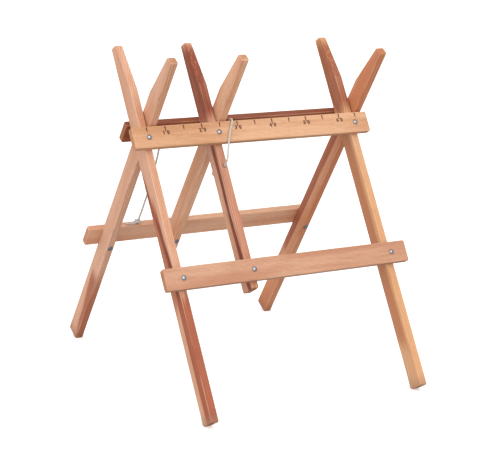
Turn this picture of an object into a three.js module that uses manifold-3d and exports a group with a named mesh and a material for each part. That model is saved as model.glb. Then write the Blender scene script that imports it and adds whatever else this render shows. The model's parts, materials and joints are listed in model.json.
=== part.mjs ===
// A folding sawhorse of beech: two ladder-like frames crossed like scissors, with a rule along the
// upper front rail, a V of tapered leg tops that holds a log, and a cord that ties the log down.
// Units are millimetres. +X runs along the rails, +Y from the front feet to the rear feet, +Z is up.
// The origin is on the floor, midway between the ends of the rails and midway between the feet.
import * as THREE from 'three';
import { mergeVertices } from 'three/addons/utils/BufferGeometryUtils.js';
import Module from 'manifold-3d';

const wasm = await Module();
wasm.setup();

// ---- Driving dimensions ----

const LEAN_DEGREES = 31.5; // each leg's angle from upright, opened out
const LEG_WIDTH = 45; // across a leg, seen from the side
const LEG_THICKNESS = 20; // along X
const LEG_ABOVE_PIVOT = 215;
const LEG_BELOW_PIVOT = 732;
const SHORT_LEG_BELOW_PIVOT = 434; // the middle pair ends just under the lower rails
const TAPER_START = 92; // above the pivot, where the inner edge of the V starts to taper
const TAPER_DEPTH = 22;
const FOOT_FLAT = 6; // planed on the corner that stands on the floor
const EDGE_ROUND = 2; // radius on every long edge
const CORNER_CUT = 3; // small chamfer on the corners of an outline

const PAIR_CENTRES = [-297, -105, 297]; // where each pair of legs meets, along X
const PAIR_NAMES = ['left', 'middle', 'right'];
const RAIL_WIDTH = 54;
const RAIL_THICKNESS = 17;
const UPPER_RAIL_LENGTH = 676;
const LOWER_RAIL_LENGTH = 690;
const RAIL_OFFSET = 12; // the front rails sit this far to the left, the rear ones to the right
const LOWER_RAIL_DROP = 364; // from the pivot to the top of a lower rail, along the leg

const BOLT_DIAMETER = 6;
const BOLT_HEAD_DIAMETER = 13;
const BOLT_HEAD_HEIGHT = 3.6;
const SLEEVE_DIAMETER = 8.4; // barrel of the cap nut that the bolt screws into
const SLEEVE_LENGTH = 13;
const CAP_DIAMETER = 14;
const CAP_THICKNESS = 1.6;

const PIVOT_DIAMETER = 8;
const PIVOT_HEAD_WIDTH = 13; // across the flats of the hexagon
const PIVOT_HEAD_HEIGHT = 5.3;
const PIVOT_WASHER_DIAMETER = 22;
const PIVOT_WASHER_THICKNESS = 1.6;
const SPACER_DIAMETER = 26;
const SPACER_THICKNESS = 1.4; // keeps the two legs of a pair apart
const INSERT_DIAMETER = 12; // threaded bush in the front leg
const INSERT_LENGTH = 14;

const CORD_DIAMETER = 5;
const CORD_ANCHOR_X = -193; // the hole in the lower rear rail that the cord is tied in
const CORD_STOPPER_DROP = 122; // the hole in the middle front leg, below the pivot
const KNOT_DIAMETER = 15;
const CORD_TAIL_LENGTH = 34;

const SEAT_GAP = 0.3; // between two pieces that rest on each other
const SHANK_CLEARANCE = 0.4; // round a bolt, a sleeve or a bush, on the radius
const PIVOT_CLEARANCE = 0.1; // round the pivot's shank, which turns in the rear leg
const CORD_CLEARANCE = 0.6; // round a cord in its hole, on the radius

// ---- What follows from them ----

const LEAN = THREE.MathUtils.degToRad(LEAN_DEGREES);
const HALF_LEG = LEG_WIDTH / 2;
const RAIL_INNER = HALF_LEG + SEAT_GAP;
const RAIL_MIDDLE = RAIL_INNER + RAIL_THICKNESS / 2;
const RAIL_OUTER = RAIL_INNER + RAIL_THICKNESS;
const PAIR_GAP = SPACER_THICKNESS + 2 * SEAT_GAP;
const LEG_OFFSET = (LEG_THICKNESS + PAIR_GAP) / 2;
const PIVOT_HEIGHT =
  LEG_BELOW_PIVOT * Math.cos(LEAN) + (HALF_LEG - FOOT_FLAT * Math.cos(LEAN)) * Math.sin(LEAN);
const UPPER_RAIL_DROP = upperRailDrop();
const ROUND_SIDES = 24;

// The upper rails are the stops of the opened sawhorse. The rounded edge of each comes up as far as
// it can under the crossing legs of the other frame, whose near face is HALF_LEG from the pivot.
function upperRailDrop() {
  const reach = HALF_LEG + SEAT_GAP + EDGE_ROUND;
  const edgeCentre = RAIL_INNER + EDGE_ROUND;
  return (reach - edgeCentre * Math.cos(2 * LEAN)) / Math.sin(2 * LEAN) - EDGE_ROUND;
}

// ---- Materials ----

const wood = (colour) => new THREE.MeshStandardMaterial({ color: colour, roughness: 0.6, metalness: 0 });
const legWood = wood(0xc98f63);
const railWood = wood(0xdfb48c);
const zinc = new THREE.MeshStandardMaterial({ color: 0xb9bcc2, roughness: 0.28, metalness: 1 });
const cordFibre = new THREE.MeshStandardMaterial({ color: 0xcfcbc6, roughness: 0.85, metalness: 0 });

// ---- Solids: join and cut ----

function solidOf(geometry) {
  const bare = geometry.clone();
  bare.deleteAttribute('normal');
  bare.deleteAttribute('uv');
  const merged = mergeVertices(bare, 1e-4);
  return new wasm.Manifold(new wasm.Mesh({
    numProp: 3,
    vertProperties: new Float32Array(merged.attributes.position.array),
    triVerts: new Uint32Array(merged.index.array),
  }));
}

function geometryOf(solid) {
  const mesh = solid.getMesh();
  const geometry = new THREE.BufferGeometry();
  geometry.setAttribute('position', new THREE.BufferAttribute(new Float32Array(mesh.vertProperties), 3));
  geometry.setIndex(new THREE.BufferAttribute(new Uint32Array(mesh.triVerts), 1));
  geometry.computeVertexNormals();
  return geometry;
}

function cut(geometry, tools) {
  return geometryOf(tools.reduce((left, tool) => left.subtract(solidOf(tool)), solidOf(geometry)));
}

function join(geometries) {
  return geometryOf(geometries.map(solidOf).reduce((sum, next) => sum.add(next)));
}

// ---- Simple shapes. Each frame's own axes are x along the rails, y across and z up its legs. ----

const AXES = {
  x: [new THREE.Vector3(0, 1, 0), new THREE.Vector3(0, 0, 1), new THREE.Vector3(1, 0, 0)],
  y: [new THREE.Vector3(0, 0, 1), new THREE.Vector3(1, 0, 0), new THREE.Vector3(0, 1, 0)],
  z: [new THREE.Vector3(1, 0, 0), new THREE.Vector3(0, 1, 0), new THREE.Vector3(0, 0, 1)],
};

// Turns a shape that was drawn in the XY plane and raised along Z so that it rises along an axis.
function along(axis, geometry) {
  return geometry.applyMatrix4(new THREE.Matrix4().makeBasis(...AXES[axis]));
}

// A plank: the outline is raised by its thickness, with the long edges rounded.
function plank(points, thickness) {
  const geometry = new THREE.ExtrudeGeometry(new THREE.Shape(points), {
    depth: thickness - 2 * EDGE_ROUND,
    bevelEnabled: true,
    bevelSegments: 3,
    bevelThickness: EDGE_ROUND,
    bevelSize: EDGE_ROUND,
    bevelOffset: -EDGE_ROUND,
  });
  return geometry.translate(0, 0, EDGE_ROUND - thickness / 2);
}

// A turned piece: profile points are [radius, height], from the axis back to the axis or round a bore.
function turned(profile, sides = ROUND_SIDES) {
  const points = profile.map(([radius, height]) => new THREE.Vector2(radius, height));
  const geometry = new THREE.LatheGeometry(points, sides);
  return geometry.rotateX(Math.PI / 2);
}

function rod(axis, radius, length, middle) {
  const geometry = new THREE.CylinderGeometry(radius, radius, length, ROUND_SIDES).rotateX(Math.PI / 2);
  return along(axis, geometry).translate(...middle);
}

// ---- Wooden pieces ----

// A leg's outline. u is across the leg, towards the side that its frame's rails are on, and v is up.
// The inner edge of the V is on the rail side above the pivot; the foot stands on its other corner.
function legOutline(side, below) {
  const flatAcross = FOOT_FLAT * Math.cos(LEAN);
  const flatUp = FOOT_FLAT * Math.sin(LEAN);
  const footCorner = below === LEG_BELOW_PIVOT
    ? [[-HALF_LEG, flatUp - below], [flatAcross - HALF_LEG, -below]]
    : [[-HALF_LEG, CORNER_CUT - below], [CORNER_CUT - HALF_LEG, -below]];
  const tip = HALF_LEG - TAPER_DEPTH;
  const corners = [
    ...footCorner,
    [HALF_LEG - CORNER_CUT, -below],
    [HALF_LEG, CORNER_CUT - below],
    [HALF_LEG, TAPER_START],
    [tip, LEG_ABOVE_PIVOT - CORNER_CUT],
    [tip - CORNER_CUT, LEG_ABOVE_PIVOT],
    [CORNER_CUT - HALF_LEG, LEG_ABOVE_PIVOT],
    [-HALF_LEG, LEG_ABOVE_PIVOT - CORNER_CUT],
  ];
  return corners.map(([u, v]) => new THREE.Vector2(side * u, v));
}

// The holes that a rail's bolt needs through the leg: clear for the bolt, wider for the sleeve.
function boltHoles(side, x, drop) {
  const sleeveHole = SLEEVE_LENGTH + SHANK_CLEARANCE;
  return [
    rod('y', BOLT_DIAMETER / 2 + SHANK_CLEARANCE, LEG_WIDTH + 2, [x, 0, -drop]),
    rod('y', SLEEVE_DIAMETER / 2 + SHANK_CLEARANCE, sleeveHole + 1,
      [x, -side * (HALF_LEG - sleeveHole / 2 + 0.5), -drop]),
  ];
}

// The front leg holds the threaded bush in a blind hole; the rear leg turns on the pivot's shank.
function pivotHole(side, x) {
  if (side > 0) {
    return rod('x', PIVOT_DIAMETER / 2 + PIVOT_CLEARANCE, LEG_THICKNESS + 2, [x, 0, 0]);
  }
  const depth = INSERT_LENGTH + 2 * SEAT_GAP;
  return rod('x', INSERT_DIAMETER / 2 + SHANK_CLEARANCE, depth + 1,
    [x + (LEG_THICKNESS - depth + 1) / 2, 0, 0]);
}

function leg(side, pair, railDrops) {
  const below = PAIR_NAMES[pair] === 'middle' ? SHORT_LEG_BELOW_PIVOT : LEG_BELOW_PIVOT;
  const x = legX(side, pair);
  const blank = along('x', plank(legOutline(side, below), LEG_THICKNESS)).translate(x, 0, 0);
  const holes = railDrops.flatMap((drop) => boltHoles(side, x, drop));
  holes.push(pivotHole(side, x));
  if (side < 0 && PAIR_NAMES[pair] === 'middle') {
    holes.push(rod('y', CORD_DIAMETER / 2 + CORD_CLEARANCE, LEG_WIDTH + 2, [x, 0, -CORD_STOPPER_DROP]));
  }
  return cut(blank, holes);
}

function legX(side, pair) {
  return PAIR_CENTRES[pair] + side * LEG_OFFSET;
}

function rail(side, length, topDrop) {
  const half = length / 2;
  const halfWidth = RAIL_WIDTH / 2;
  const corners = [
    [CORNER_CUT - half, -halfWidth],
    [half - CORNER_CUT, -halfWidth],
    [half, CORNER_CUT - halfWidth],
    [half, halfWidth - CORNER_CUT],
    [half - CORNER_CUT, halfWidth],
    [CORNER_CUT - half, halfWidth],
    [-half, halfWidth - CORNER_CUT],
    [-half, CORNER_CUT - halfWidth],
  ];
  // The outline lies across x and z, so it is drawn with z first to rise along y.
  const outline = corners.map(([x, z]) => new THREE.Vector2(z, x)).reverse();
  const drop = topDrop + halfWidth;
  const blank = along('y', plank(outline, RAIL_THICKNESS))
    .translate(side * RAIL_OFFSET, side * RAIL_MIDDLE, -drop);
  const holes = PAIR_CENTRES.map((_, pair) => rod('y', BOLT_DIAMETER / 2 + SHANK_CLEARANCE,
    RAIL_THICKNESS + 2, [legX(side, pair), side * RAIL_MIDDLE, -drop]));
  if (side > 0 && topDrop === LOWER_RAIL_DROP) {
    holes.push(rod('z', CORD_DIAMETER / 2 + CORD_CLEARANCE, RAIL_WIDTH + 2,
      [CORD_ANCHOR_X, RAIL_MIDDLE, -drop]));
  }
  return cut(blank, holes);
}

// ---- Fasteners ----

// A domed bolt: its head is outside the rail, and its shank ends inside the sleeve nut.
function railBolt(side, x, drop) {
  const r = BOLT_DIAMETER / 2;
  const head = BOLT_HEAD_DIAMETER / 2;
  const shank = RAIL_OUTER + HALF_LEG - 2 * SEAT_GAP;
  const dome = [];
  for (let i = 0; i <= 4; i += 1) {
    const angle = (i / 4) * (Math.PI / 2);
    dome.push([head * Math.cos(angle), 0.8 + (BOLT_HEAD_HEIGHT - 0.8) * Math.sin(angle)]);
  }
  dome[4][0] = 0;
  const profile = [[0, -shank], [r - 0.6, -shank], [r, 0.6 - shank], [r, 0], [head, 0], ...dome];
  const bolt = turned(profile);
  return outwards(side, bolt, x, RAIL_OUTER + SEAT_GAP, drop);
}

// The cap nut: a thin round cap on the leg, and a barrel in its hole.
function sleeveNut(side, x, drop) {
  const bore = BOLT_DIAMETER / 2 + SEAT_GAP;
  const barrel = SLEEVE_DIAMETER / 2;
  const cap = CAP_DIAMETER / 2;
  const profile = [
    [0, CAP_THICKNESS], [cap - 0.5, CAP_THICKNESS], [cap, CAP_THICKNESS - 0.5], [cap, 0], [barrel, 0],
    [barrel, -SLEEVE_LENGTH], [bore, -SLEEVE_LENGTH], [bore, 0], [0, 0],
  ];
  const nut = turned(profile.reverse());
  return outwards(-side, nut, x, HALF_LEG + SEAT_GAP, drop);
}

// Places a piece that was turned about z so that it points away from the frame on one side.
function outwards(side, geometry, x, distance, drop) {
  return geometry.rotateX(-side * Math.PI / 2).translate(x, side * distance, -drop);
}

function hexagon(acrossFlats) {
  const radius = acrossFlats / Math.sqrt(3);
  const points = [];
  for (let i = 0; i < 6; i += 1) {
    points.push(new THREE.Vector2(radius * Math.cos((i * Math.PI) / 3), radius * Math.sin((i * Math.PI) / 3)));
  }
  return new THREE.Shape(points);
}

// The pivot screw goes in from the right, through the rear leg and the spacer, into the bush.
function pivotScrew(x) {
  const washerFace = PAIR_GAP / 2 + LEG_THICKNESS + PIVOT_WASHER_THICKNESS + 2 * SEAT_GAP;
  const inFrontLeg = PAIR_GAP / 2 + INSERT_LENGTH - 1;
  const shankLength = washerFace + inFrontLeg;
  const head = along('x', new THREE.ExtrudeGeometry(hexagon(PIVOT_HEAD_WIDTH), {
    depth: PIVOT_HEAD_HEIGHT,
    bevelEnabled: false,
  })).translate(x + washerFace, 0, 0);
  const shank = rod('x', PIVOT_DIAMETER / 2, shankLength + 1, [x + (washerFace - inFrontLeg + 1) / 2, 0, 0]);
  return join([head, shank]);
}

function ring(x, outer, inner, thickness) {
  const half = thickness / 2;
  const profile = [[inner, -half], [outer, -half], [outer, half], [inner, half], [inner, -half]];
  return along('x', turned(profile)).translate(x, 0, 0);
}

function pivotWasher(x) {
  const middle = PAIR_GAP / 2 + LEG_THICKNESS + SEAT_GAP + PIVOT_WASHER_THICKNESS / 2;
  return ring(x + middle, PIVOT_WASHER_DIAMETER / 2, PIVOT_DIAMETER / 2 + SHANK_CLEARANCE, PIVOT_WASHER_THICKNESS);
}

function pivotSpacer(x) {
  return ring(x, SPACER_DIAMETER / 2, PIVOT_DIAMETER / 2 + SHANK_CLEARANCE, SPACER_THICKNESS);
}

function pivotBush(x) {
  const middle = PAIR_GAP / 2 + SEAT_GAP + INSERT_LENGTH / 2;
  return ring(x - middle, INSERT_DIAMETER / 2, PIVOT_DIAMETER / 2 + SEAT_GAP, INSERT_LENGTH);
}

// ---- The hold-down cord and its knots ----

function tube(points, steps) {
  const curve = new THREE.CatmullRomCurve3(points, false, 'centripetal');
  curve.arcLengthDivisions = 4000;
  const section = new THREE.Shape();
  section.absarc(0, 0, CORD_DIAMETER / 2, 0, 2 * Math.PI);
  return new THREE.ExtrudeGeometry(section, {
    extrudePath: curve,
    steps,
    curveSegments: 5,
    bevelEnabled: false,
  });
}

// Tied on top of the lower rear rail, with a short tail: from the knot the cord goes down through
// the rail, under it and up its outer face to the knot again.
function anchorKnot() {
  const top = -LOWER_RAIL_DROP;
  const bottom = top - RAIL_WIDTH;
  const behind = RAIL_OUTER + CORD_DIAMETER / 2 + CORD_CLEARANCE;
  const centre = top + SEAT_GAP + 0.45 * KNOT_DIAMETER;
  const knot = new THREE.SphereGeometry(KNOT_DIAMETER / 2, 20, 14)
    .scale(1, 0.9, 0.9)
    .translate(CORD_ANCHOR_X, RAIL_MIDDLE, centre);
  const loop = tube([
    [RAIL_MIDDLE, centre],
    [RAIL_MIDDLE, top - 8],
    [RAIL_MIDDLE, (top + bottom) / 2],
    [RAIL_MIDDLE, bottom + 6],
    [RAIL_MIDDLE, bottom - 2],
    [RAIL_MIDDLE + 2, bottom - 6],
    [(RAIL_MIDDLE + behind) / 2, bottom - 7.5],
    [behind - 2, bottom - 6],
    [behind, bottom - 1],
    [behind, bottom + 8],
    [behind, (top + bottom) / 2],
    [behind, top - 6],
    [behind - 1, top + 1],
    [behind - 4, top + 4.5],
    [RAIL_MIDDLE + 2, centre],
  ].map(([out, up]) => new THREE.Vector3(CORD_ANCHOR_X, out, up)), 60);
  const tail = rod('x', CORD_DIAMETER / 2, CORD_TAIL_LENGTH,
    [CORD_ANCHOR_X - CORD_TAIL_LENGTH / 2, RAIL_MIDDLE, top + SEAT_GAP + CORD_DIAMETER / 2]);
  return join([knot, loop, tail]);
}

// The knot behind the middle front leg that stops the cord from pulling through it.
function stopperKnot() {
  const x = legX(-1, 1);
  const radius = KNOT_DIAMETER / 2;
  const knot = new THREE.SphereGeometry(radius, 16, 12)
    .scale(1, 0.9, 0.9)
    .translate(x, HALF_LEG + SEAT_GAP + 0.9 * radius, -CORD_STOPPER_DROP);
  const length = LEG_WIDTH + radius - CORD_DIAMETER / 2;
  const stem = rod('y', CORD_DIAMETER / 2, length,
    [x, HALF_LEG + radius - length / 2, -CORD_STOPPER_DROP]);
  return join([knot, stem]);
}

// A point given as x, the height up the leg from the pivot, and the distance out on the rail side.
function onFrame(side, x, up, out) {
  return new THREE.Vector3(x, side * out, up)
    .applyAxisAngle(new THREE.Vector3(1, 0, 0), side * LEAN)
    .add(new THREE.Vector3(0, 0, PIVOT_HEIGHT));
}

const onRear = (x, up, out) => onFrame(1, x, up, out);
const onFront = (x, up, out) => onFrame(-1, x, up, out);
const betweenFrames = (x, y, up) => new THREE.Vector3(x, y, PIVOT_HEIGHT + up);

// Once round the upper rear rail: up its outer face, over its top and back under it.
function turnRoundRail() {
  const points = [];
  for (let corner = 0; corner < 4; corner += 1) {
    const outer = corner === 0 || corner === 3 ? 1 : -1;
    const upper = corner < 2 ? 1 : -1;
    for (let step = 0; step < 3; step += 1) {
      const angle = (corner + step / 2) * (Math.PI / 2);
      const x = CORD_TURN_START + CORD_TURN_PITCH * ((corner * 3 + step) / 12);
      points.push(onRear(
        x,
        CORD_TURN_MIDDLE + upper * CORD_TURN_RUN + CORD_TURN_BEND * Math.sin(angle),
        RAIL_MIDDLE + outer * CORD_TURN_STEP + CORD_TURN_BEND * Math.cos(angle),
      ));
    }
  }
  return points;
}

// The turn's size, chosen by hand: its bends, the straight runs between them and where it starts.
const CORD_TURN_BEND = 12.4;
const CORD_TURN_RUN = 20.6;
const CORD_TURN_STEP = 2;
const CORD_TURN_MIDDLE = -40.2;
const CORD_TURN_START = -79.5;
const CORD_TURN_PITCH = 9;

// The cord's line: up from its knot, along the back of the upper rear rail, once round that rail
// beside the middle leg, down between the frames, up over the rule, down the rule's face and into
// the middle front leg.
const CORD_ROUTE = [
  onRear(-193, -349.6, 31.3),
  onRear(-193, -338, 31.3),
  onRear(-194.5, -280, 30),
  onRear(-197, -210, 31),
  onRear(-200, -140, 36),
  onRear(-201, -97, 42),
  onRear(-198, -78, 44),
  onRear(-188, -65, 44),
  onRear(-168, -60, 43),
  onRear(-130, -57, 42.8),
  onRear(-104, -55.5, 43.2),
  onRear(-92, -52, 43.8),
  onRear(-83.8, -42, 44.4),
  onRear(-80.4, -30, 45.4),
  ...turnRoundRail(),
  onRear(-70, -48, 44),
  onRear(-68.6, -34, 43),
  onRear(-67.2, -21, 43.8),
  onRear(-66.6, -12.6, 42.8),
  onRear(-66.3, -8.7, 38.6),
  onRear(-66, -7.1, 33.5),
  onRear(-66, -7.6, 28),
  onRear(-66, -10.4, 21.4),
  betweenFrames(-66.2, 22.4, -3),
  betweenFrames(-66.6, 22.6, -14),
  betweenFrames(-67.3, 19.5, -25),
  betweenFrames(-68.4, 12, -34),
  betweenFrames(-69.6, 0, -38),
  betweenFrames(-70.6, -12, -34),
  betweenFrames(-71.3, -19.5, -25),
  betweenFrames(-71.7, -22.6, -14),
  betweenFrames(-71.8, -22.4, -3),
  onFront(-71.8, -10.4, 21.4),
  onFront(-71.8, -7.6, 28),
  onFront(-72, -7.4, 35),
  onFront(-73.4, -10.7, 41.2),
  onFront(-76, -18.5, 44),
  onFront(-87, -40, 43),
  onFront(-97, -64, 43),
  onFront(-105, -86, 43.5),
  onFront(-111, -104, 42.5),
  onFront(-114.5, -115.5, 38),
  onFront(-115.8, -121, 30),
  onFront(-116, -122, 25),
  onFront(-116, -122, 20.3),
];

// ---- Assembly ----

const sawhorse = new THREE.Group();
const pivotLine = new THREE.Group();
pivotLine.position.z = PIVOT_HEIGHT;
const frontFrame = new THREE.Group();
frontFrame.rotation.x = -LEAN;
const rearFrame = new THREE.Group();
rearFrame.rotation.x = LEAN;
pivotLine.add(frontFrame, rearFrame);
sawhorse.add(pivotLine);

function add(group, name, geometry, material) {
  const mesh = new THREE.Mesh(geometry, material);
  mesh.name = name;
  group.add(mesh);
}

const RAILS = [
  { place: 'upper', length: UPPER_RAIL_LENGTH, drop: UPPER_RAIL_DROP },
  { place: 'lower', length: LOWER_RAIL_LENGTH, drop: LOWER_RAIL_DROP },
];
const FRAMES = [
  { place: 'front', side: -1, group: frontFrame },
  { place: 'rear', side: 1, group: rearFrame },
];
const boltDrop = (railDrop) => railDrop + RAIL_WIDTH / 2;

for (const { place, side, group } of FRAMES) {
  for (const row of RAILS) {
    const railName = place === 'front' && row.place === 'upper' ? 'rule_rail' : `${place}_${row.place}_rail`;
    add(group, railName, rail(side, row.length, row.drop), railWood);
  }
  PAIR_NAMES.forEach((pairName, pair) => {
    const drops = RAILS.map((row) => boltDrop(row.drop));
    add(group, `${place}_leg_${pairName}`, leg(side, pair, drops), legWood);
    RAILS.forEach((row, i) => {
      const where = `${place}_${row.place}_${pairName}`;
      add(group, `bolt_${where}`, railBolt(side, legX(side, pair), drops[i]), zinc);
      add(group, `cap_nut_${where}`, sleeveNut(side, legX(side, pair), drops[i]), zinc);
    });
  });
}

PAIR_NAMES.forEach((pairName, pair) => {
  const x = PAIR_CENTRES[pair];
  add(frontFrame, `pivot_screw_${pairName}`, pivotScrew(x), zinc);
  add(frontFrame, `pivot_washer_${pairName}`, pivotWasher(x), zinc);
  add(frontFrame, `pivot_spacer_${pairName}`, pivotSpacer(x), zinc);
  add(frontFrame, `pivot_bush_${pairName}`, pivotBush(x), zinc);
});

add(rearFrame, 'cord_anchor_knot', anchorKnot(), cordFibre);
add(frontFrame, 'cord_stopper_knot', stopperKnot(), cordFibre);
add(sawhorse, 'hold_down_cord', tube(CORD_ROUTE, 80), cordFibre);

export default sawhorse;
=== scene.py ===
"""Folding sawhorse of beech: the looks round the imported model.

All lengths are in metres, in the model's own frame: +X along the rails, +Y to the rear, +Z up.
"""

import json
import math

import bpy
import numpy as np
from mathutils import Matrix, Vector


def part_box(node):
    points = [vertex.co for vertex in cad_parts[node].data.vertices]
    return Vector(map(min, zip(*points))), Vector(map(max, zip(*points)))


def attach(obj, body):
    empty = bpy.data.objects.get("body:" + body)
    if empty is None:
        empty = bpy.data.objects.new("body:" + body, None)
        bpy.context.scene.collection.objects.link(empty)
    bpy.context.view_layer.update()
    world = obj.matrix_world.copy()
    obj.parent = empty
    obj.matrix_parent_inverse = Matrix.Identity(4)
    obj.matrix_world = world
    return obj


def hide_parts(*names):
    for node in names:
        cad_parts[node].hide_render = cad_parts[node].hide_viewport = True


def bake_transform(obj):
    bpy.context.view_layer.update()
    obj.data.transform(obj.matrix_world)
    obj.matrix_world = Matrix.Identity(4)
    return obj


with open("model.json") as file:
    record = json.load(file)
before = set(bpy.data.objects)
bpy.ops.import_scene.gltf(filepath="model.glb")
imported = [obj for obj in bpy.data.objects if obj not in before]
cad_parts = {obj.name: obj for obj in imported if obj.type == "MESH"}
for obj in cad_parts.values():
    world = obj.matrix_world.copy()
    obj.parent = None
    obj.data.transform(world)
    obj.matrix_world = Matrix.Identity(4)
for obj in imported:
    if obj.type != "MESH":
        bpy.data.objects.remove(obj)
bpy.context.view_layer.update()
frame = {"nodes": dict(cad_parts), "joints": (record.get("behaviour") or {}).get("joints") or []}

# ---- Sizes ----

MM = 0.001
LEAN = math.radians(31.5)  # of each frame, from upright
PIVOT = Vector(frame["joints"][0]["pos_m"])
PAIRS = ("left", "middle", "right")
FRONT, REAR = -1, 1  # the side of the pivot that a frame's rails and feet are on
BODY = {FRONT: "front_frame", REAR: "rear_frame"}

HALF_LEG = 22.5 * MM  # half a leg's width
HALF_LEG_THICKNESS = 10 * MM
RAIL_INNER = HALF_LEG + 0.3 * MM
RAIL_OUTER = RAIL_INNER + 17 * MM
RAIL_MIDDLE = (RAIL_INNER + RAIL_OUTER) / 2
RAIL_WIDTH = 54 * MM
UPPER_RAIL_TOP = -13.2 * MM  # up the leg from the pivot
LOWER_RAIL_TOP = -364 * MM

CORD_DIAMETER = 5 * MM
CORD_ANCHOR_X = -0.193
CORD_STOPPER_X = -0.116
CORD_STOPPER_UP = -0.122


def on_frame(side, x, up, out):
    """A point of a leaning frame: up is along its legs from the pivot, out is towards its rails."""
    y = side * (out * math.cos(LEAN) - up * math.sin(LEAN))
    z = up * math.cos(LEAN) + out * math.sin(LEAN)
    return (x, y, PIVOT.z + z)


# ---- Camera ----

CAMERA_PLACE = (-2.081, -3.383, 1.320)
CAMERA_LENS = 116.3  # millimetres, on a sensor 36 mm wide


def add_camera():
    """A long lens, in front of the left end and a little above the pivots, held almost level."""
    turn, dip, roll = (math.radians(degrees) for degrees in (31.78, 13.53, 2.01))
    ahead = Vector((math.sin(turn) * math.cos(dip), math.cos(turn) * math.cos(dip), -math.sin(dip)))
    level = ahead.cross(Vector((0, 0, 1))).normalized()
    above = level.cross(ahead)
    right = math.cos(roll) * level + math.sin(roll) * above
    top = math.cos(roll) * above - math.sin(roll) * level
    camera = bpy.data.objects.new("camera", bpy.data.cameras.new("camera"))
    camera.data.lens = CAMERA_LENS
    camera.data.sensor_width = 36
    camera.data.clip_end = 200
    facing = Matrix((right, top, -ahead)).transposed().to_4x4()
    camera.matrix_world = Matrix.Translation(CAMERA_PLACE) @ facing
    bpy.context.scene.collection.objects.link(camera)
    bpy.context.scene.camera = camera


add_camera()


# ---- Meshes ----


def mesh_object(name, points, faces, uv=None, smooth=True):
    """An object at the origin from an array of points and rows of corner numbers."""
    mesh = bpy.data.meshes.new(name)
    mesh.from_pydata(np.asarray(points).tolist(), [], [list(face) for face in faces])
    mesh.shade_smooth() if smooth else mesh.shade_flat()
    if uv is not None:
        corner_points = np.empty(len(mesh.loops), dtype=np.int64)
        mesh.loops.foreach_get("vertex_index", corner_points)
        layer = mesh.uv_layers.new(name="UVMap")
        layer.data.foreach_set("uv", np.asarray(uv)[corner_points].ravel())
    obj = bpy.data.objects.new(name, mesh)
    bpy.context.scene.collection.objects.link(obj)
    return obj


def tube_faces(rings, sides):
    """Quads between the neighbouring rings of a tube, and one flat face over each of its ends."""
    ring, corner = np.meshgrid(np.arange(rings - 1) * sides, np.arange(sides), indexing="ij")
    beside = (corner + 1) % sides
    quads = [ring + corner, ring + beside, ring + sides + beside, ring + sides + corner]
    last = (rings - 1) * sides
    ends = [list(range(sides))[::-1], list(range(last, last + sides))]
    return np.stack(quads, axis=-1).reshape(-1, 4).tolist() + ends


def turned(name, profile, axis, start, sides=48):
    """A piece turned about an axis a, from a profile of radii r and heights h.

    Each height's ring is start + h a + r (cos t b + sin t c), where b and c are square to a.
    """
    axis = Vector(axis).normalized()
    across = axis.orthogonal().normalized()
    basis = np.array([across, axis.cross(across), axis])
    radius, height = np.array(profile, dtype=float).T
    angle = np.linspace(0, 2 * np.pi, sides, endpoint=False)
    ring = np.stack([np.cos(angle), np.sin(angle), np.zeros(sides)], axis=1)
    points = radius[:, None, None] * ring + height[:, None, None] * np.array([0, 0, 1.0])
    points = points.reshape(-1, 3) @ basis + np.array(start)
    return mesh_object(name, points, tube_faces(len(profile), sides))


CURVE_STEPS = 60  # on each stretch of a curve, before it is cut to even lengths


def curve_through(points, spacing):
    """Points a spacing apart on the centripetal Catmull-Rom curve through the given points.

    Each stretch is a cubic p1 + s1 t + c2 t^2 + c3 t^3, whose end slopes weigh the neighbouring
    gaps by their square roots.
    """
    points = np.array(points, dtype=float)
    first, last = 2 * points[0] - points[1], 2 * points[-1] - points[-2]
    p = np.vstack([first, points, last])
    gap = np.linalg.norm(np.diff(p, axis=0), axis=1)[:, None] ** 0.5
    g0, g1, g2 = gap[:-2], gap[1:-1], gap[2:]
    p0, p1, p2, p3 = p[:-3], p[1:-2], p[2:-1], p[3:]
    slope1 = g1 * ((p1 - p0) / g0 - (p2 - p0) / (g0 + g1) + (p2 - p1) / g1)
    slope2 = g1 * ((p2 - p1) / g1 - (p3 - p1) / (g1 + g2) + (p3 - p2) / g2)
    t = np.linspace(0, 1, CURVE_STEPS, endpoint=False)[None, :, None]
    c2 = -3 * p1 + 3 * p2 - 2 * slope1 - slope2
    c3 = 2 * p1 - 2 * p2 + slope1 + slope2
    dense = p1[:, None] + slope1[:, None] * t + c2[:, None] * t**2 + c3[:, None] * t**3
    dense = np.vstack([dense.reshape(-1, 3), points[-1]])
    travelled = np.concatenate([[0], np.cumsum(np.linalg.norm(np.diff(dense, axis=0), axis=1))])
    stops = np.linspace(0, travelled[-1], max(2, round(travelled[-1] / spacing) + 1))
    return np.stack([np.interp(stops, travelled, dense[:, i]) for i in range(3)], axis=1)


def directions_along(line):
    """For each point of a line, two directions square to it that don't twist.

    The first is the last point's, with its part along the new direction of travel taken out.
    """
    ahead = np.gradient(line, axis=0)
    ahead /= np.linalg.norm(ahead, axis=1)[:, None]
    side = np.empty_like(ahead)
    last = np.array(Vector(ahead[0]).orthogonal())
    for i, forward in enumerate(ahead):
        last = last - forward * (last @ forward)
        last /= np.linalg.norm(last)
        side[i] = last
    return side, np.cross(ahead, side)


BRAID_STRANDS = 8
BRAID_PITCH = 16 * MM  # the length in which a strand goes once round
BRAID_RELIEF = 0.09  # of the radius, from the top of a strand to the dip between strands
BRAID_SPACING = 0.6 * MM
BRAID_SIDES = 32
CUT_END = CORD_DIAMETER / 3  # the length over which a free end rounds off
CUT_END_CORE = 0.02  # of the radius squared, left at the very tip


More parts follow.
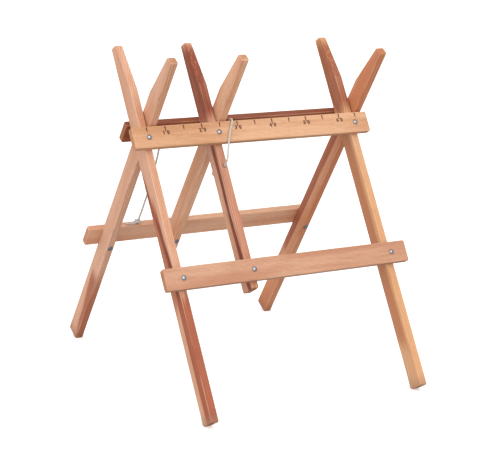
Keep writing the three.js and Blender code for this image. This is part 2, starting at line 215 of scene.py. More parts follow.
def braided(name, points, rounded_ends=False):
    """A braided cord through the points, and the line that it follows.

    Its radius is r (1 - relief (1 - |sin a| |sin b|)), where a and b are the two helices of the
    braid. Its UV map counts turns round it and pitches along it.
    """
    line = curve_through(points, BRAID_SPACING)
    side, other = directions_along(line)
    along = np.linspace(0, 1, len(line)) * np.linalg.norm(np.diff(line, axis=0), axis=1).sum()
    turn = np.arange(BRAID_SIDES) / BRAID_SIDES
    angle = 2 * np.pi * turn
    half = BRAID_STRANDS / 2
    run = 2 * np.pi * along[:, None] / BRAID_PITCH
    weave = np.abs(np.sin(half * (angle + run))) * np.abs(np.sin(half * (angle - run)))
    radius = CORD_DIAMETER / 2 * (1 - BRAID_RELIEF * (1 - weave))
    if rounded_ends:
        from_end = np.minimum(along, along[-1] - along)[:, None] / CUT_END
        rounding = 1 - (1 - np.minimum(from_end, 1)) ** 2
        radius = radius * np.sqrt(np.clip(rounding, CUT_END_CORE, 1))
    spokes = np.cos(angle)[:, None] * side[:, None] + np.sin(angle)[:, None] * other[:, None]
    points = (line[:, None] + radius[:, :, None] * spokes).reshape(-1, 3)
    uv = np.stack(np.broadcast_arrays(turn[None, :], along[:, None] / BRAID_PITCH), axis=-1)
    faces = tube_faces(len(line), BRAID_SIDES)
    return mesh_object(name, points, faces, uv.reshape(-1, 2)), line


# ---- The hold-down cord ----


def turn_round_rail():
    """Once round the upper rear rail: quarter circles at its corners and straight runs between.

    The point at angle t of a corner is (corner up + r sin t, corner out + r cos t), and each of
    the twelve is a twelfth of the pitch further along the rail.
    """
    start, pitch = -79.5 * MM, 9 * MM
    bend = 12.4 * MM  # the radius at a corner
    run, step = 20.6 * MM, 2 * MM  # from the rail's middle to a corner's centre, up and out
    middle = UPPER_RAIL_TOP - RAIL_WIDTH / 2
    points = []
    for corner in range(4):
        outer = 1 if corner in (0, 3) else -1
        upper = 1 if corner < 2 else -1
        for part in range(3):
            angle = (corner + part / 2) * math.pi / 2
            x = start + pitch * (corner * 3 + part) / 12
            up = middle + upper * run + bend * math.sin(angle)
            out = RAIL_MIDDLE + outer * step + bend * math.cos(angle)
            points.append(on_frame(REAR, x, up, out))
    return points


def in_mm(side, *rows):
    """Points of a leaning frame from rows of x, up and out in millimetres."""
    return [on_frame(side, x * MM, up * MM, out * MM) for x, up, out in rows]


def between_frames(*rows):
    """Points between the frames from rows of x, y and the height over the pivots in millimetres."""
    return [(x * MM, y * MM, PIVOT.z + up * MM) for x, y, up in rows]


# Up from its knot, along the back of the upper rear rail, once round that rail beside the middle
# leg, down between the frames, up over the rule, down its face and into the middle front leg.
CORD_ROUTE = [
    *in_mm(REAR, (-193, -349.6, 31.3), (-193, -338, 31.3), (-194.5, -280, 30), (-197, -210, 31)),
    *in_mm(REAR, (-200, -140, 36), (-201, -97, 42), (-198, -78, 44), (-188, -65, 44)),
    *in_mm(REAR, (-168, -60, 43), (-130, -57, 42.8), (-104, -55.5, 43.2), (-92, -52, 43.8)),
    *in_mm(REAR, (-83.8, -42, 44.4), (-80.4, -30, 45.4)),
    *turn_round_rail(),
    *in_mm(REAR, (-70, -48, 44), (-68.6, -34, 43), (-67.2, -21, 43.8), (-66.6, -12.6, 42.8)),
    *in_mm(REAR, (-66.3, -8.7, 38.6), (-66, -7.1, 33.5), (-66, -7.6, 28), (-66, -10.4, 21.4)),
    *between_frames((-66.2, 22.4, -3), (-66.6, 22.6, -14), (-67.3, 19.5, -25), (-68.4, 12, -34)),
    *between_frames((-69.6, 0, -38), (-70.6, -12, -34), (-71.3, -19.5, -25)),
    *between_frames((-71.7, -22.6, -14), (-71.8, -22.4, -3)),
    *in_mm(FRONT, (-71.8, -10.4, 21.4), (-71.8, -7.6, 28), (-72, -7.4, 35), (-73.4, -10.7, 41.2)),
    *in_mm(FRONT, (-76, -18.5, 44), (-87, -40, 43), (-97, -64, 43), (-105, -86, 43.5)),
    *in_mm(FRONT, (-111, -104, 42.5), (-114.5, -115.5, 38), (-115.8, -121, 30)),
    *in_mm(FRONT, (-116, -122, 25), (-116, -122, 20.3)),
]


def anchor_knot():
    """Down through the lower rear rail, under it, up behind it and one and a half times round
    itself on top, where the tail lies along the rail to the left."""
    x, middle = CORD_ANCHOR_X, RAIL_MIDDLE
    top, bottom = LOWER_RAIL_TOP, LOWER_RAIL_TOP - RAIL_WIDTH
    halfway = (top + bottom) / 2
    behind = RAIL_OUTER + CORD_DIAMETER / 2 + 0.6 * MM
    lying = top + CORD_DIAMETER / 2 + 0.3 * MM
    round_rail = [
        (top + 15 * MM, middle),
        (top + 8 * MM, middle),
        (top, middle),
        (halfway, middle),
        (bottom + 6 * MM, middle),
        (bottom - 2 * MM, middle),
        (bottom - 6 * MM, middle + 2 * MM),
        (bottom - 7.5 * MM, (middle + behind) / 2),
        (bottom - 6 * MM, behind - 2 * MM),
        (bottom - 1 * MM, behind),
        (bottom + 8 * MM, behind),
        (halfway, behind),
        (top - 6 * MM, behind),
        (top + 1.2 * MM, behind - 0.2 * MM),
        (top + 4 * MM, RAIL_OUTER - 0.6 * MM),
    ]
    points = [(x, up, out) for up, out in round_rail]
    wrap = 4.7 * MM
    climb = 0.92 * CORD_DIAMETER  # in one turn
    for eighth in range(13):
        angle = eighth * math.pi / 4
        up = lying + climb * eighth / 8
        points.append((x + wrap * math.sin(angle), up, middle + wrap * math.cos(angle)))
    tail = [(8, 5.5, 4.7), (14, 1.2, 4), (20, 0, 3), (34, 0, 1.5)]
    points += [(x - left * MM, lying + up * MM, middle - out * MM) for left, up, out in tail]
    return braided("anchor_knot", [on_frame(REAR, *p) for p in points], rounded_ends=True)[0]


def stopper_knot():
    """Through the middle front leg and one and three quarter times round itself behind it."""
    x, up = CORD_STOPPER_X, CORD_STOPPER_UP
    back = -HALF_LEG
    through = (20.3 * MM, 10 * MM, -10 * MM, back - 4 * MM, back - 9 * MM)
    points = [(x, up, out) for out in through]
    points.append((x + 1.5 * MM, up + 0.5 * MM, back - 12.6 * MM))
    wrap = 4.6 * MM
    farthest, depth = back - 11.2 * MM, 8.2 * MM  # the turns come back towards the leg
    for eighth in range(15):
        angle = (eighth + 1) * math.pi / 4
        out = farthest + depth * eighth / 14
        points.append((x + wrap * math.cos(angle), up + wrap * math.sin(angle), out))
    points.append((x + 4.5 * MM, up - 8.5 * MM, back - 3.4 * MM))
    points.append((x + 3 * MM, up - 14 * MM, back - 4 * MM))
    return braided("stopper_knot", [on_frame(FRONT, *p) for p in points], rounded_ends=True)[0]


def add_cord():
    """The cord with its two knots: the anchor knot rides with the rear frame and the stopper knot
    with the front frame, while the cord between them, through the bight where the frames fold, is
    one fixed piece."""
    knot, stopper = anchor_knot(), stopper_knot()
    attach(knot, BODY[REAR])
    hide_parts("cord_anchor_knot")
    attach(stopper, BODY[FRONT])
    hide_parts("cord_stopper_knot")
    piece, line = braided("hold_down_cord_braid", CORD_ROUTE)
    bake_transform(piece)
    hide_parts("hold_down_cord")
    return piece, knot, stopper


cord_pieces = add_cord()


# ---- Bolts and nuts ----

SHANK_RADIUS = 3 * MM
SHANK_LENGTH = 55 * MM
SLEEVE_RADIUS = 4.2 * MM
SLEEVE_LENGTH = 12.9 * MM
HEAD_UNDERSIDE = -0.1 * MM
HEAD_GAP = 0.15 * MM  # from the wood to a head's zero height
POLE_RADIUS = 0.01 * MM  # of the tiny face that closes a turned piece
NODE_BOX_MIDDLE = {name: sum(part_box(name), Vector()) / 2 for name in frame["nodes"]}


def outward(side):
    """The direction in which a frame's rails face."""
    return Vector((0, side * math.cos(LEAN), math.sin(LEAN)))


def domed_head(name, side, x, drop):
    """A bolt: a low dome over a short rounded rim, and its shank.

    The dome has the radius r cos t at the height rim + (h - rim) sin t.
    """
    radius, height, rim, lip = 6.5 * MM, 3.6 * MM, 0.9 * MM, 0.25 * MM
    profile = [
        (SHANK_RADIUS - 0.5 * MM, -SHANK_LENGTH),
        (SHANK_RADIUS, -SHANK_LENGTH + 0.6 * MM),
        (SHANK_RADIUS, HEAD_UNDERSIDE),
        (radius - lip, HEAD_UNDERSIDE),
        (radius, lip),
    ]
    quarter = np.linspace(0, np.pi / 2, 14)[:-1]
    profile += [(radius * math.cos(t), rim + (height - rim) * math.sin(t)) for t in quarter]
    profile.append((POLE_RADIUS, height))
    seat = on_frame(side, x, drop, RAIL_OUTER + HEAD_GAP)
    return turned(name, profile, outward(side), seat)


def cap_nut_head(name, side, x, drop):
    """A cap nut: a thin round cap with a rolled edge and a shallow dish, and its sleeve.

    The rolled edge has the radius r - roll + roll cos t at the height h - roll + roll sin t.
    """
    radius, height, roll = 7 * MM, 1.6 * MM, 0.6 * MM
    profile = [
        (SLEEVE_RADIUS, -SLEEVE_LENGTH),
        (SLEEVE_RADIUS, HEAD_UNDERSIDE),
        (radius - 0.1 * MM, HEAD_UNDERSIDE),
        (radius, 0.2 * MM),
    ]
    for t in np.linspace(0, np.pi / 2, 6):
        profile.append((radius - roll + roll * math.cos(t), height - roll + roll * math.sin(t)))
    dish = [(4.6, 0), (4.2, 0.25), (2.6, 0.5), (1, 0.6)]
    profile += [(across * MM, height - deep * MM) for across, deep in dish]
    profile.append((POLE_RADIUS, height - 0.6 * MM))
    seat = on_frame(side, x, drop, -HALF_LEG - HEAD_GAP)
    return turned(name, profile, -outward(side), seat)


def add_fasteners():
    """One domed bolt and one cap nut where each rail crosses a leg, as the model has them."""
    made = []
    for side, place in ((FRONT, "front"), (REAR, "rear")):
        for row, top in (("upper", UPPER_RAIL_TOP), ("lower", LOWER_RAIL_TOP)):
            for pair in PAIRS:
                where = f"{place}_{row}_{pair}"
                x = NODE_BOX_MIDDLE[f"bolt_{where}"].x
                drop = top - RAIL_WIDTH / 2
                head = domed_head(f"domed_bolt_{where}", side, x, drop)
                cap = cap_nut_head(f"round_cap_nut_{where}", side, x, drop)
                for piece, node in ((head, f"bolt_{where}"), (cap, f"cap_nut_{where}")):
                    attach(piece, BODY[side])
                    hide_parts(node)
                    made.append(piece)
    return made


fasteners = add_fasteners()


# ---- The rule's scale ----

TICKS = 13
TICK_PITCH = 50 * MM
FIRST_TICK = -310 * MM
TICK_LENGTH = 11.5 * MM
NUMBERED_TICK_LENGTH = 14 * MM
TICK_HALF_WIDTHS = (1.9 * MM, 1.2 * MM)  # at the top and at the foot
DIGIT_HEIGHT = 9.6 * MM
DIGIT_DROP = 20.5 * MM  # from a tick's top to a digit's foot
DIGIT_PLACES = (-6.2 * MM, 6 * MM)  # beside the tick
FACE_HEIGHT = 0.72  # of a digit, in a type size of 1
STROKE_SWELL = 0.08  # of a digit's height, on each side of a stroke
MARK_PROUD = 0.08 * MM


def digit_outline(text):
    """A digit's flat mesh, centred on its width, with its foot at zero: points and faces."""
    curve = bpy.data.curves.new("digit", "FONT")
    curve.body = text
    curve.size = DIGIT_HEIGHT / FACE_HEIGHT
    curve.align_x = "CENTER"
    curve.resolution_u = 3
    curve.offset = STROKE_SWELL * DIGIT_HEIGHT
    writing = bpy.data.objects.new("digit", curve)
    bpy.context.scene.collection.objects.link(writing)
    bpy.context.view_layer.update()
    mesh = bpy.data.meshes.new_from_object(writing)
    points = np.array([vertex.co[:2] for vertex in mesh.vertices])
    faces = [list(face.vertices) for face in mesh.polygons]
    bpy.data.objects.remove(writing)
    bpy.data.curves.remove(curve)
    bpy.data.meshes.remove(mesh)
    return points, faces


def add_scale():
    """Ticks every five centimetres just under the rule's top edge, and a number at every second."""
    points, faces = [], []

    def put(outline, corners, x, up):
        start = len(points)
        points.extend((x + px, up + py) for px, py in outline)
        faces.extend([start + corner for corner in face] for face in corners)

    top = UPPER_RAIL_TOP - 2.2 * MM
    for tick in range(TICKS):
        x = FIRST_TICK + TICK_PITCH * tick
        numbered = tick % 2 == 1
        length = NUMBERED_TICK_LENGTH if numbered else TICK_LENGTH
        wide, narrow = TICK_HALF_WIDTHS
        outline = [(-wide, 0), (-narrow, -length), (narrow, -length), (wide, 0)]
        put(outline, [[0, 1, 2, 3]], x, top)
        if numbered:
            for digit, beside in zip(str(5 * (tick + 1)), DIGIT_PLACES):
                outline, corners = digit_outline(digit)
                put(outline, corners, x + beside, top - DIGIT_DROP)
    placed = [on_frame(FRONT, x, up, RAIL_OUTER + MARK_PROUD) for x, up in points]
    scale = mesh_object("rule_scale", placed, faces, smooth=False)
    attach(scale, BODY[FRONT])
    return scale


scale = add_scale()


# ---- Materials: the shader maths ----


class Level:
    """A node's output. Arithmetic on it adds Math nodes to the same material."""

    def __init__(self, finish, socket):
        self.finish = finish
        self.socket = socket

    def __add__(self, other):
        return self.finish.math("ADD", self, other)

    def __sub__(self, other):
        return self.finish.math("SUBTRACT", self, other)

    def __rsub__(self, other):
        return self.finish.math("SUBTRACT", other, self)

    def __mul__(self, other):
        return self.finish.math("MULTIPLY", self, other)

    def __truediv__(self, other):
        return self.finish.math("DIVIDE", self, other)

    def __pow__(self, other):
        return self.finish.math("POWER", self, other)

    def __abs__(self):
        return self.finish.math("ABSOLUTE", self)

    __radd__ = __add__
    __rmul__ = __mul__


class Finish:
    """A material with one Principled shader, whose nodes are added by the calls below."""

    def __init__(self, name, fixed=None):
        self.material = bpy.data.materials.new(name)
        self.material.use_nodes = True
        self.tree = self.material.node_tree
        self.shader = self.tree.nodes["Principled BSDF"]
        for socket, value in (fixed or {}).items():
            self.shader.inputs[socket].default_value = value

    def node(self, kind, settings=None, values=None, output=0):
        """Adds a node: its settings first, then the values or links of its sockets."""
        node = self.tree.nodes.new(kind)
        for key, setting in (settings or {}).items():
            setattr(node, key, setting)
        for socket, value in (values or {}).items():
            if isinstance(value, Level):
                self.tree.links.new(value.socket, node.inputs[socket])
            else:
                node.inputs[socket].default_value = value
        return Level(self, node.outputs[output])

    def math(self, operation, *values):
        """A Math node on levels or numbers."""
        return self.node("ShaderNodeMath", {"operation": operation}, dict(enumerate(values)))

    def parts(self, vector):
        """The x, y and z of a vector."""
        split = self.node("ShaderNodeSeparateXYZ", {}, {"Vector": vector}).socket.node
        return [Level(self, output) for output in split.outputs]

    def feed(self, socket, level):
        """Links a level to one of the shader's own sockets."""
        self.tree.links.new(level.socket, self.shader.inputs[socket])

    def noise(self, place, scale, detail=2.0, roughness=0.5):
        """Noise from 0 to 1 on coordinates that are first stretched by a scale for each axis."""
        stretch = {"operation": "MULTIPLY"}
        stretched = self.node("ShaderNodeVectorMath", stretch, {0: place, 1: scale})
        values = {"Vector": stretched, "Scale": 1.0, "Detail": detail, "Roughness": roughness}
        return self.node("ShaderNodeTexNoise", {}, values)

    def rise(self, level, low, high):
        """0 below low, 1 above high, and a smooth step between."""
        settings = {"interpolation_type": "SMOOTHSTEP"}
        values = {"Value": level, "From Min": low, "From Max": high}
        return self.node("ShaderNodeMapRange", settings, values)

    def slide(self, level, ends, results):
        """Goes evenly from one result to the other as a level goes from one end to the other."""
        values = {"Value": level, "From Min": ends[0], "From Max": ends[1]}
        values.update({"To Min": results[0], "To Max": results[1]})
        return self.node("ShaderNodeMapRange", {}, values)

    def mixed(self, factor, first, second):
        """A colour that goes from the first to the second as factor goes from 0 to 1."""
        values = {0: factor, 6: first, 7: second}
        return self.node("ShaderNodeMix", {"data_type": "RGBA"}, values, output=2)

    def bump(self, height, strength, distance):
        """Feeds the shader's normal with a bump of that height."""
        values = {"Height": height, "Strength": strength, "Distance": distance}
        self.feed("Normal", self.node("ShaderNodeBump", {}, values))


def colour(red, green, blue):
    """A linear colour with alpha from the 0 to 255 values of a paint chart."""
    values = np.array([red, green, blue]) / 255
    linear = np.where(values <= 0.04045, values / 12.92, ((values + 0.055) / 1.055) ** 2.4)
    return (*linear.tolist(), 1.0)


def paint(obj, finish):
    """Gives an object one material for all its faces."""
    obj.data.materials.clear()
    obj.data.materials.append(finish.material)


# ---- Materials: beech ----

PALE = colour(224, 176, 136)
ROSE = colour(226, 180, 154)
TAN = colour(214, 158, 124)
# Used only on the upper rear rail, whose dark red-brown is partly painted shade.
SHADED_AMBER = colour(166, 90, 56)
BLUSH = colour(236, 188, 156)
# Used only on the upper rear rail, whose dark red-brown is partly painted shade.
SHADED_RUSSET = colour(126, 64, 44)
# Colours of the red heart, also used for the painted shade on the upper arms of two front legs.
HEART_RED_AND_SHADE = colour(178, 88, 54)
HEART_DARK_AND_SHADE = colour(96, 24, 18)
LATE_WOOD = colour(150, 88, 54)
RAY_FLECK = colour(138, 84, 54)
END_GRAIN = colour(168, 112, 72)
RUBBED = colour(236, 200, 166)
# Dirt on the feet and in faint smudges, and painted shade in the mouths of the cord holes.
GRIME_AND_HOLE_SHADE = colour(84, 58, 42)


class HeartAndShadeBand:
    """A slanting band that reddens and darkens beech, in millimetres from the pivot and the plank's
    middle: red heart, and on the upper arms of two front legs partly painted shade.

    It runs from one place along the plank to another, and its middle and its half width each go
    evenly from their first value to their second.
    """

    def __init__(self, along, out, half, dark=0.8, red=0.7):
        self.along = np.array(along) * MM
        self.out = np.array(out) * MM
        self.half = np.array(half) * MM
        self.dark = dark
        self.red = red


class Plank:
    """How one plank came out: its two colours, where the tree's heart was, and its bands of red
    heart, some of them partly painted shade.
    """

    def __init__(self, light, deep, heart_at, seed, bands=(), ring=2.6, slope=0.02, hole=None):
        self.light = light
        self.deep = deep
        self.heart_at = heart_at
        self.seed = seed
        self.bands = bands
        self.ring = ring * MM  # the width of a growth ring
        self.slope = slope  # of the grain to the plank's edge
        self.hole = hole  # where the cord goes through


FRAY = 14 * MM  # how far the fibre breaks up a band's edge
FRAY_ALONG = 50 * MM
BAND_FADE = 25 * MM  # at each end of a band


def red_heart_and_painted_shade(wood, body, plank, grain, out, along):
    """Reddens and darkens the body inside each slanting band, whose edges break up along the grain.

    Inside a band is where half - |out - middle| + fray rises past zero.
    """
    frayed = wood.noise(grain, (160, 160, 4), 3.0, 0.6) - 0.5
    fine = wood.noise(grain, (420, 420, 7), 2.0, 0.6)
    for band in plank.bands:
        low, high = sorted(band.along)
        middle = wood.slide(along, band.along, band.out)
        half = wood.slide(along, band.along, band.half)
        inside = half - abs(out - middle) + frayed * FRAY
        shifted = frayed * FRAY_ALONG
        reach = wood.rise(along + shifted, low - BAND_FADE, low + BAND_FADE)
        reach = reach * wood.rise(0 - along + shifted, -high - BAND_FADE, -high + BAND_FADE)
        mask = wood.rise(inside, -3 * MM, 2 * MM) * reach
        # Each band adds red heart; on the upper arms of two front legs it is partly painted shade.
        body = wood.mixed(mask * band.red, body, HEART_RED_AND_SHADE)
        body = wood.mixed(mask * wood.rise(fine, 0.34, 0.52) * band.dark, body, HEART_DARK_AND_SHADE)
    return body


def late_wood(wood, plank, grain, from_middle, from_core, along):
    """The dark part of each growth ring, which ends sharply, and the slow wander of the rings.

    A ring is a shell at a distance sqrt(a^2 + b^2) from the tree's heart line, which slants along
    the plank, so the same rings meet on all faces and curve on the ends.
    """
    wander = wood.noise(grain, (22, 22, 3.5), 2.0) - 0.5
    ripple = wood.noise(grain, (120, 120, 14), 1.0) - 0.5
    a = from_middle - plank.heart_at[0] + along * plank.slope
    b = from_core - plank.heart_at[1] + along * (plank.slope * 0.6)
    radius = (a * a + b * b) ** 0.5 + wander * (7 * MM) + ripple * (0.5 * MM)
    ring = wood.math("FRACT", radius / plank.ring)
    return wood.rise(ring, 0.35, 0.93) * (1 - wood.rise(ring, 0.94, 1.0)), wander


def rubbed_arris(wood, grain, from_middle, from_core, half_size):
    """Patches along the plank's four long edges: where both distances come near their halves."""
    wide, thick = (
        wood.rise(abs(distance), half - 2.2 * MM, half - 0.6 * MM)
        for distance, half in zip((from_middle, from_core), half_size)
    )
    return wide * thick * wood.rise(wood.noise(grain, (60, 60, 12), 2.0), 0.35, 0.6)


FOOT_FROM_PIVOT = (0.69, 0.74)  # where the dirt on a foot begins and is full
HOLE_SHADE_EDGE = (3.6 * MM, 5.6 * MM)  # where the painted shade round a cord hole is full and ends


def beech(name, side, along_rail, plank, centre, half_size):
    """Planed, oiled beech. Fine fibres and dark ray flecks run with the grain, slow noise makes
    the plank deeper and paler in turns, its arrises are rubbed pale, and its feet are dirty."""
    wood = Finish(name, {"Specular IOR Level": 0.35})
    place = wood.node("ShaderNodeTexCoord", output="Object")
    upright = Matrix.Rotation(-side * LEAN, 3, "X")
    mapping = {"Vector": place, "Location": -(upright @ PIVOT), "Rotation": (-side * LEAN, 0, 0)}
    x, y, z = wood.parts(wood.node("ShaderNodeMapping", {}, mapping))
    out = y * side
    across, along = (z, x) if along_rail else (x, z)
    from_middle, from_core = across - centre[0], out - centre[1]
    values = {0: from_middle + plank.seed, 1: from_core, 2: along + plank.seed * 3}
    grain = wood.node("ShaderNodeCombineXYZ", {}, values)

    late, wander = late_wood(wood, plank, grain, from_middle, from_core, along)
    fibre = wood.noise(grain, (1500, 1500, 38), 2.0, 0.6)
    fleck = wood.rise(wood.noise(grain, (1100, 1100, 260), 1.0), 0.62, 0.72)
    broad = wood.rise(wood.noise(grain, (34, 34, 2.6), 3.0, 0.55), 0.34, 0.66)
    body = wood.mixed(broad, plank.light, plank.deep)
    body = red_heart_and_painted_shade(wood, body, plank, grain, out, along)
    uneven = 0.15 + wood.noise(grain, (90, 90, 2), 1.0) * 0.5
    body = wood.mixed(late * uneven, body, LATE_WOOD)
    body = wood.mixed(wood.rise(fibre, 0.35, 0.8) * 0.34, body, RAY_FLECK)
    body = wood.mixed(fleck * 0.4, body, RAY_FLECK)

    facing = wood.node("ShaderNodeTexCoord", output="Normal")
    line = (1, 0, 0) if along_rail else (0, -side * math.sin(LEAN), math.cos(LEAN))
    dot = {"operation": "DOT_PRODUCT"}
    square = wood.node("ShaderNodeVectorMath", dot, {0: facing, 1: line}, "Value")
    end = wood.rise(abs(square), 0.8, 0.95)
    worn = rubbed_arris(wood, grain, from_middle, from_core, half_size)
    body = wood.mixed(end * 0.55, body, END_GRAIN)
    body = wood.mixed(worn * 0.35, body, RUBBED)
    smudge = wood.rise(wood.noise(place, (14, 14, 14), 4.0, 0.65), 0.56, 0.74)
    body = wood.mixed(smudge * 0.1, body, GRIME_AND_HOLE_SHADE)
    if not along_rail:
        foot = wood.rise(0 - along + wander * 0.03, *FOOT_FROM_PIVOT)
        body = wood.mixed(foot * 0.4, body, GRIME_AND_HOLE_SHADE)
    # Painted shade: the mouth of the cord hole is darkened round the cord.
    if plank.hole:
        near, far = plank.hole
        from_hole = ((x - near) ** 2 + ((out if along_rail else along) - far) ** 2) ** 0.5
        rim = wood.rise(0 - from_hole, -HOLE_SHADE_EDGE[1], -HOLE_SHADE_EDGE[0])
        body = wood.mixed(rim * 0.85, body, GRIME_AND_HOLE_SHADE)
    wood.feed("Base Color", body)
    wood.feed("Roughness", 0.44 + fibre * 0.16 + end * 0.16 + smudge * 0.08)
    wood.bump(fibre * 0.6 - late * 0.25 - fleck * 0.4, 0.22, 0.25 * MM)
    return wood


LEG_PLANKS = {
    "front_leg_left": Plank(
        ROSE, TAN, (30 * MM, 70 * MM), 0.31,
        [
            HeartAndShadeBand((-90, -240), (-24, -10), (4, 7), 0.8, 0.6),
            HeartAndShadeBand((-190, -450), (-8, 0), (12, 20), 0.2, 0.6),
            HeartAndShadeBand((-230, -440), (-2, 12), (5, 9), 1.0, 0.95),
            HeartAndShadeBand((-430, -730), (16, 22), (16, 22), 0.3, 0.9),
        ],
    ),
    "front_leg_middle": Plank(
        ROSE, TAN, (-50 * MM, 60 * MM), 1.13,
        [
            # Partly painted shade: the whole upper arm above the pivot is darkened red-brown, as
            # red heart and as the shadow of a log in the V.
            HeartAndShadeBand((200, 10), (-4, 4), (26, 22), 0.75, 0.9),
            HeartAndShadeBand((-20, -440), (26, 26), (7, 9), 0.15, 0.4),
            HeartAndShadeBand((-60, -240), (10, 6), (7, 6), 1.0, 0.95),
            HeartAndShadeBand((-230, -440), (6, 12), (6, 9), 1.0, 0.95),
        ],
        hole=(CORD_STOPPER_X, CORD_STOPPER_UP),
    ),
    "front_leg_right": Plank(
        PALE, colour(222, 168, 120), (60 * MM, -50 * MM), 2.27,
        [
            # Partly painted shade: the whole upper arm above the pivot is darkened red-brown, as
            # red heart and as the shadow of a log in the V.
            HeartAndShadeBand((200, 10), (-4, 4), (26, 22), 0.5, 0.7),
            HeartAndShadeBand((-30, -620), (-8, -6), (18, 18), 0.1, 0.5),
        ],
    ),
    "rear_leg_left": Plank(
        ROSE, TAN, (50 * MM, 90 * MM), 3.41,
        [HeartAndShadeBand((-500, -735), (-8, -24), (14, 6), 0.3)],
    ),
    "rear_leg_middle": Plank(
        BLUSH, colour(216, 154, 116), (-70 * MM, -50 * MM), 4.63,
    ),
    "rear_leg_right": Plank(
        TAN, colour(204, 128, 88), (40 * MM, 80 * MM), 5.79,
        [HeartAndShadeBand((-20, -500), (10, 16), (12, 14), 0.4, 0.7)],
    ),
}
RAIL_PLANKS = {
    "rule_rail": Plank(
        colour(228, 182, 144), colour(204, 152, 110), (100 * MM, 20 * MM), 6.1,
        ring=3.0, slope=0.012,
    ),
    "front_lower_rail": Plank(
        colour(214, 168, 140), colour(192, 138, 108), (90 * MM, -30 * MM), 7.4,
        ring=2.8,
    ),
    # Partly painted shade: this rail is a darker red-brown than the other beech, partly as the
    # shadow of a log in the V.
    "rear_upper_rail": Plank(
        SHADED_RUSSET, SHADED_AMBER, (-80 * MM, 20 * MM), 8.6,
        slope=0.015,
    ),
    "rear_lower_rail": Plank(
        BLUSH, colour(218, 158, 124), (70 * MM, 40 * MM), 9.9,
        ring=2.9, hole=(CORD_ANCHOR_X, RAIL_MIDDLE),
    ),
}


def paint_planks():
    """Each leg and rail its own wood, sawn square round its own middle line."""
    leg_half = (HALF_LEG_THICKNESS, HALF_LEG)
    rail_half = (RAIL_WIDTH / 2, (RAIL_OUTER - RAIL_INNER) / 2)
    for node, plank in LEG_PLANKS.items():
        side = REAR if node.startswith("rear") else FRONT
        centre = (NODE_BOX_MIDDLE[node].x, 0.0)
        finish = beech(f"beech_{node}", side, False, plank, centre, leg_half)
        paint(frame["nodes"][node], finish)
    for node, plank in RAIL_PLANKS.items():
        side = REAR if node.startswith("rear") else FRONT
        top = LOWER_RAIL_TOP if "lower" in node else UPPER_RAIL_TOP
        centre = (top - RAIL_WIDTH / 2, RAIL_MIDDLE)
        finish = beech(f"beech_{node}", side, True, plank, centre, rail_half)
        paint(frame["nodes"][node], finish)


paint_planks()


# ---- Materials: steel, cord, scale ----


def zinc_steel():
    """Bright zinc plate, a little uneven, with faint blotches."""
    steel = Finish("zinc_steel", {"Metallic": 1.0})
    place = steel.node("ShaderNodeTexCoord", output="Object")
    blotch = steel.noise(place, (420, 420, 420), 3.0, 0.6)
    steel.feed("Base Color", steel.mixed(blotch, colour(166, 168, 174), colour(124, 126, 134)))
    steel.feed("Roughness", 0.1 + blotch * 0.12)
    return steel


def braid():
    """Grey-white synthetic cord: the dips between its strands are painted darker as shade, and
    noise varies the yarn's tone and adds wear.
    """
    cord = Finish("braid", {"Sheen Weight": 0.3})
    place = cord.node("ShaderNodeTexCoord", output="UV")
    turn, pitch, _ = cord.parts(place)
    half_turns = math.pi * BRAID_STRANDS
    one = abs(cord.math("SINE", (turn + pitch) * half_turns))
    two = abs(cord.math("SINE", (turn - pitch) * half_turns))
    bead = one * two
    yarn = cord.noise(place, (90, 420, 1), 2.0, 0.6)
    object_place = cord.node("ShaderNodeTexCoord", output="Object")
    wear = cord.noise(object_place, (60, 60, 60), 3.0, 0.6)
    # Painted shade: the dips between strands are darker than the strand tops.
    shade = cord.mixed(cord.rise(bead, 0.0, 0.6), colour(150, 145, 142), colour(228, 224, 220))
    shade = cord.mixed(yarn * 0.35, shade, colour(160, 154, 150))
    shade = cord.mixed(cord.rise(wear, 0.5, 0.75) * 0.4, shade, colour(170, 150, 132))
    cord.feed("Base Color", shade)
    cord.feed("Roughness", 0.72 + yarn * 0.2)
    cord.bump(bead * 0.6 + yarn * 0.4, 0.5, 0.4 * MM)
    return cord


def scale_mark():
    """Marks burnt into the rule: dark brown, unevenly scorched."""
    mark = Finish("burnt_mark", {"Roughness": 0.7})
    place = mark.node("ShaderNodeTexCoord", output="Object")
    scorch = mark.noise(place, (500, 500, 500), 2.0)
    mark.feed("Base Color", mark.mixed(scorch, colour(66, 32, 18), colour(120, 66, 36)))
    return mark


steel_finish = zinc_steel()
braid_finish = braid()
for piece in fasteners:
    paint(piece, steel_finish)
for node, obj in frame["nodes"].items():
    if node.startswith("pivot"):
        paint(obj, steel_finish)
for piece in cord_pieces:
    paint(piece, braid_finish)
paint(scale, scale_mark())


# ---- Floor and light ----


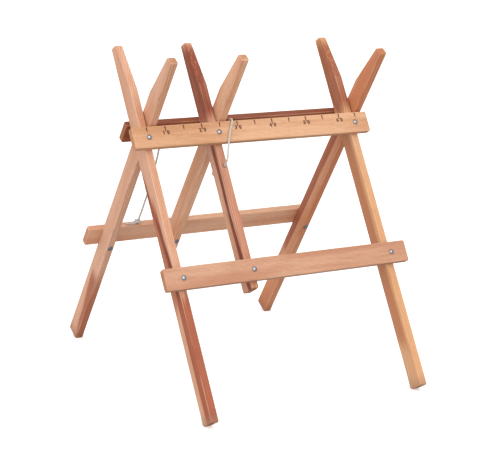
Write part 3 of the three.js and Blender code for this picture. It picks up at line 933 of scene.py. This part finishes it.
def add_floor():
    """A plain pale floor that runs out of sight and throws no light back up."""
    reach = 60
    corners = [(-reach, -reach, 0), (reach, -reach, 0), (reach, reach, 0), (-reach, reach, 0)]
    floor = mesh_object("floor", corners, [[0, 1, 2, 3]], smooth=False)
    fixed = {"Roughness": 0.9, "Base Color": (0.9, 0.9, 0.9, 1.0)}
    fixed.update({"Emission Color": (1.0, 1.0, 1.0, 1.0), "Emission Strength": 0.3})
    pale = Finish("pale_floor", fixed)
    paint(floor, pale)
    floor.visible_diffuse = False
    floor.visible_glossy = False


def add_sun(name, towards, energy, angle, tint):
    """A soft sun that shines along a direction."""
    data = bpy.data.lights.new(name, "SUN")
    data.energy = energy
    data.angle = math.radians(angle)
    data.color = tint
    lamp = bpy.data.objects.new(name, data)
    lamp.rotation_euler = Vector(towards).to_track_quat("-Z", "Y").to_euler()
    bpy.context.scene.collection.objects.link(lamp)


def add_light():
    """A dome that is bright at the upper left and dim at the lower right, and two broad suns."""
    world = bpy.data.worlds.new("studio")
    world.use_nodes = True
    tree = world.node_tree
    direction = tree.nodes.new("ShaderNodeTexCoord")
    lit = tree.nodes.new("ShaderNodeVectorMath")
    lit.operation = "DOT_PRODUCT"
    lit.inputs[1].default_value = (-0.52, -0.35, 0.78)
    ramp = tree.nodes.new("ShaderNodeMapRange")
    for socket, value in {"From Min": -0.7, "From Max": 0.8, "To Min": 0.42, "To Max": 1.2}.items():
        ramp.inputs[socket].default_value = value
    tree.links.new(direction.outputs["Generated"], lit.inputs[0])
    tree.links.new(lit.outputs["Value"], ramp.inputs["Value"])
    background = tree.nodes["Background"]
    tree.links.new(ramp.outputs[0], background.inputs["Strength"])
    background.inputs["Color"].default_value = (1.0, 0.985, 0.97, 1.0)
    bpy.context.scene.world = world
    add_sun("key", (-0.2, 0.8, -0.75), 0.7, 35, (1.0, 0.97, 0.93))
    add_sun("fill", (0.85, 0.45, -0.3), 0.6, 60, (1.0, 0.97, 0.94))


add_floor()
add_light()
bpy.context.scene.view_settings.view_transform = "Standard"
